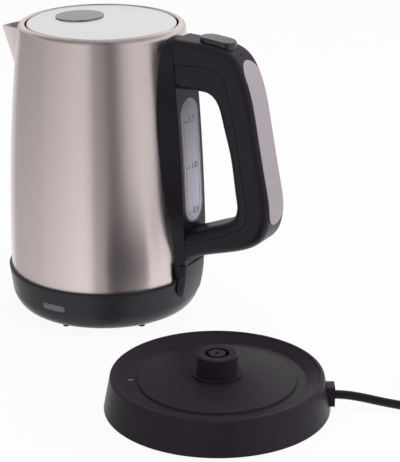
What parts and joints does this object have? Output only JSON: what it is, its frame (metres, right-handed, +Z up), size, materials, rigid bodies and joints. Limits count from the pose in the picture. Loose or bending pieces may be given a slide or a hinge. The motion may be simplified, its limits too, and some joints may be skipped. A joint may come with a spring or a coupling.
{
  "type": "electric kettle with power base",
  "caption": "Tapered steel kettle with pointed spout, flush hinged lid, loop handle with water gauge and switch, standing beside its round power base with a coiled mains cord.",
  "frame": {"origin": "on the table, at the middle of the box around the kettle and its base without the cord", "axes": "+Z up, +X from the spout towards the handle, +Y across the kettle away from the lamp side"},
  "size_m": [0.4447, 0.321, 0.2327],
  "materials": {
    "steel_shell": "fine brushing around the body",
    "steel_lid": "satin",
    "steel_inside": "plain",
    "black_plastic": "satin",
    "black_switch": "satin",
    "black_foot": "satin",
    "black_base": "satin",
    "grey_plastic": "matte",
    "silver_trim": "satin",
    "gauge_clear": "clear",
    "lens_clear": "frosted",
    "lamp": "gloss",
    "seal_rubber": "matte",
    "spring_steel": "bright",
    "aluminium_plate": "plain",
    "element_sheath": "dull",
    "contact_brass": "bright",
    "lead_wire": "matte",
    "cord_rubber": "satin",
    "tie_band": "woven",
    "plug_plastic": "satin"
  },
  "bodies": {
    "power_base": {"base_top": "black_base", "base_plate": "black_base", "connector_tower": "black_base", "tower_contacts": "contact_brass", "base_feet": "seal_rubber", "base_screws": "spring_steel", "base_leads": "lead_wire", "cord_gland": "black_base", "cord_lead": "cord_rubber", "cord_coil": "cord_rubber", "cord_tie": "tie_band", "plug_body": "plug_plastic", "plug_pins": "contact_brass"},
    "kettle": {"body_shell": "steel_shell", "spout": "steel_shell", "filter_frame": "grey_plastic", "filter_mesh": "steel_inside", "vessel_floor": "steel_inside", "heat_spreader": "aluminium_plate", "heating_element": "element_sheath", "lid_collar": "grey_plastic", "lid_hinge_pin": "spring_steel", "lid_spring": "spring_steel", "handle_mount": "black_plastic", "handle_grip": "black_plastic", "handle_cover": "black_plastic", "handle_insert": "silver_trim", "button_spring": "spring_steel", "handle_screws": "spring_steel", "steam_tube": "steel_inside", "gauge_window": "gauge_clear", "gauge_seal": "seal_rubber", "bottom_housing": "black_foot", "bottom_cover": "black_foot", "kettle_feet": "seal_rubber", "cover_screws": "spring_steel", "kettle_socket": "grey_plastic", "socket_pin": "contact_brass", "socket_contacts": "contact_brass", "thermostat_control": "grey_plastic", "switch_pin": "spring_steel", "indicator_lens": "lens_clear", "indicator_lamp": "lamp", "lamp_leads": "lead_wire"},
    "lid": {"lid_plate": "steel_lid", "lid_disc": "silver_trim", "lid_inner": "grey_plastic", "latch_spring": "spring_steel"},
    "latch": {"lid_latch": "grey_plastic"},
    "button": {"lid_button": "black_switch"},
    "switch": {"switch_lever": "black_switch"}
  },
  "joints": [
    {"name": "kettle_lift", "type": "slide", "parent": "power_base", "child": "kettle", "axis": [0, 0, 1], "range_m": [0, 0.2]},
    {"name": "lid_hinge", "type": "hinge", "parent": "kettle", "child": "lid", "pos_m": [-0.04965, 0.0632, 0.2272], "axis": [0, 1, 0], "range_deg": [0, 75], "deforming": ["lid_spring"]},
    {"name": "lid_button", "type": "slide", "parent": "kettle", "child": "button", "axis": [0, 0, -1], "range_m": [0, 0.003], "stiffness_N_per_m": 400, "deforming": ["button_spring"]},
    {"name": "lid_latch", "type": "slide", "parent": "lid", "child": "latch", "axis": [1, 0, 0], "range_m": [0, 0.0026], "deforming": ["latch_spring"]},
    {"name": "power_switch", "type": "hinge", "parent": "kettle", "child": "switch", "pos_m": [-0.03365, 0.0632, 0.0265], "axis": [0, 1, 0], "range_deg": [0, 5]}
  ],
  "couplings": [
    {"joint": "lid_latch", "follows": "lid_button", "ratio": 0.83333}
  ]
}
